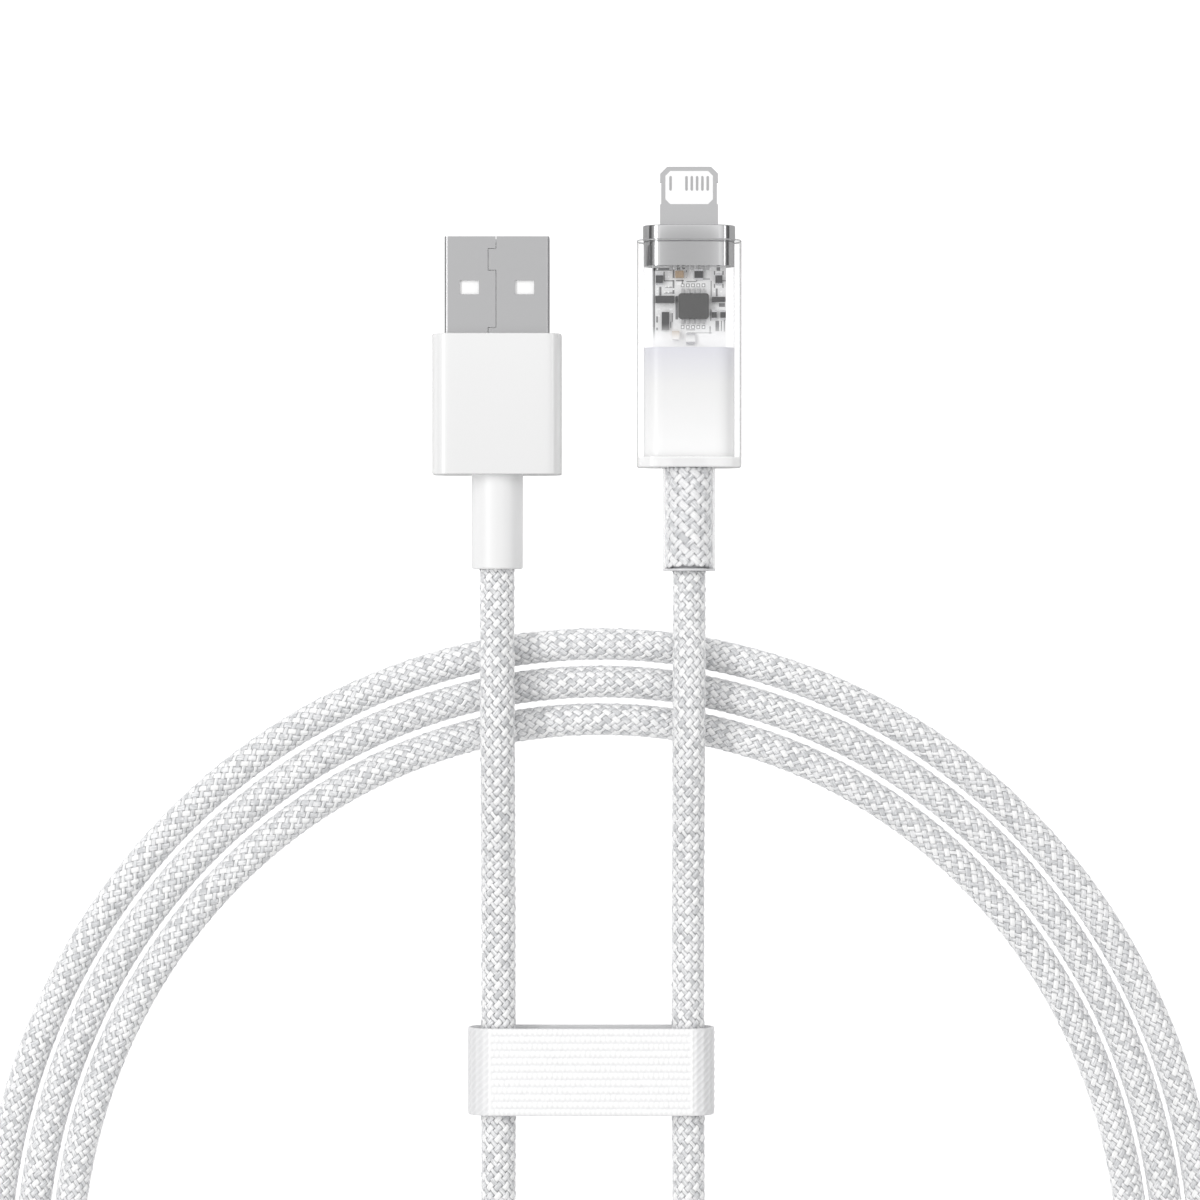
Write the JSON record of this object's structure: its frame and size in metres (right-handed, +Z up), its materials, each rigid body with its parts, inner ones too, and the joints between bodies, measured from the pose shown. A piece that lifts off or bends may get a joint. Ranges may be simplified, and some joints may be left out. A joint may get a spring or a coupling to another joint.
{
  "type": "charging cable",
  "caption": "Braided charging cable with a type-A plug, a slim reversible device plug in a clear case, a coil of cord and a sliding cable strap.",
  "frame": {"origin": "on the surface the cable lies on, under the middle of the two plugs", "axes": "+X across the plugs towards the device plug, +Y along both plugs towards their tips, +Z up from the surface"},
  "size_m": [0.1436, 0.2025, 0.0091],
  "materials": {
    "plug_steel": "satin nickel-plated steel",
    "shield_steel": "tinned steel",
    "tongue_steel": "satin stainless steel",
    "collar_steel": "bright nickel-plated steel",
    "contact_plating": "pale plating",
    "insulator_white": "moulded, white",
    "inner_mould_white": "moulded, white",
    "overmould_white": "glossy white",
    "relief_white": "soft satin white",
    "clear_case": "clear moulded plastic",
    "core_white": "translucent white potting",
    "board_white": "pale solder mask",
    "chip_grey": "moulded, grey",
    "capacitor_tan": "fired ceramic",
    "part_black": "moulded, near black",
    "solder": "bright solder",
    "wire_insulation": "coloured wire insulation",
    "sleeve_clear": "clear soft sleeve",
    "sleeve_braid": "coarse braid",
    "cord_braid": "white and light grey braid",
    "strap_tape": "white woven loop tape",
    "strap_hooks": "white hook tape"
  },
  "bodies": {
    "cable": {"type_a_shell": "plug_steel", "type_a_insulator": "insulator_white", "type_a_contacts": "contact_plating", "type_a_solder_joints": "solder", "type_a_wires": "wire_insulation", "type_a_rear_shield": "shield_steel", "type_a_crimp": "shield_steel", "type_a_inner_mould": "inner_mould_white", "type_a_overmould": "overmould_white", "type_a_strain_relief": "relief_white", "type_a_cord_end": "cord_braid", "device_tongue_frame": "tongue_steel", "device_contact_carrier": "insulator_white", "device_contacts_front": "contact_plating", "device_contacts_back": "contact_plating", "device_collar": "collar_steel", "device_clear_case": "clear_case", "device_core": "core_white", "control_board": "board_white", "controller_chip": "chip_grey", "chip_leads": "contact_plating", "board_capacitors": "capacitor_tan", "board_resistors": "part_black", "board_transistors": "part_black", "board_diodes": "part_black", "component_terminals": "solder", "device_tails": "contact_plating", "device_wires": "wire_insulation", "device_crimp": "shield_steel", "device_sleeve": "sleeve_clear", "device_sleeve_braid": "sleeve_braid", "device_cord_end": "cord_braid", "cord_type_a_leg": "cord_braid", "cord_coil": "cord_braid", "cord_device_leg": "cord_braid"},
    "strap": {"strap_band": "strap_tape", "strap_hook_patch": "strap_hooks"}
  },
  "joints": [
    {"name": "strap_slide", "type": "slide", "parent": "cable", "child": "strap", "axis": [0, 1, 0], "range_m": [-0.022, 0.014]}
  ]
}
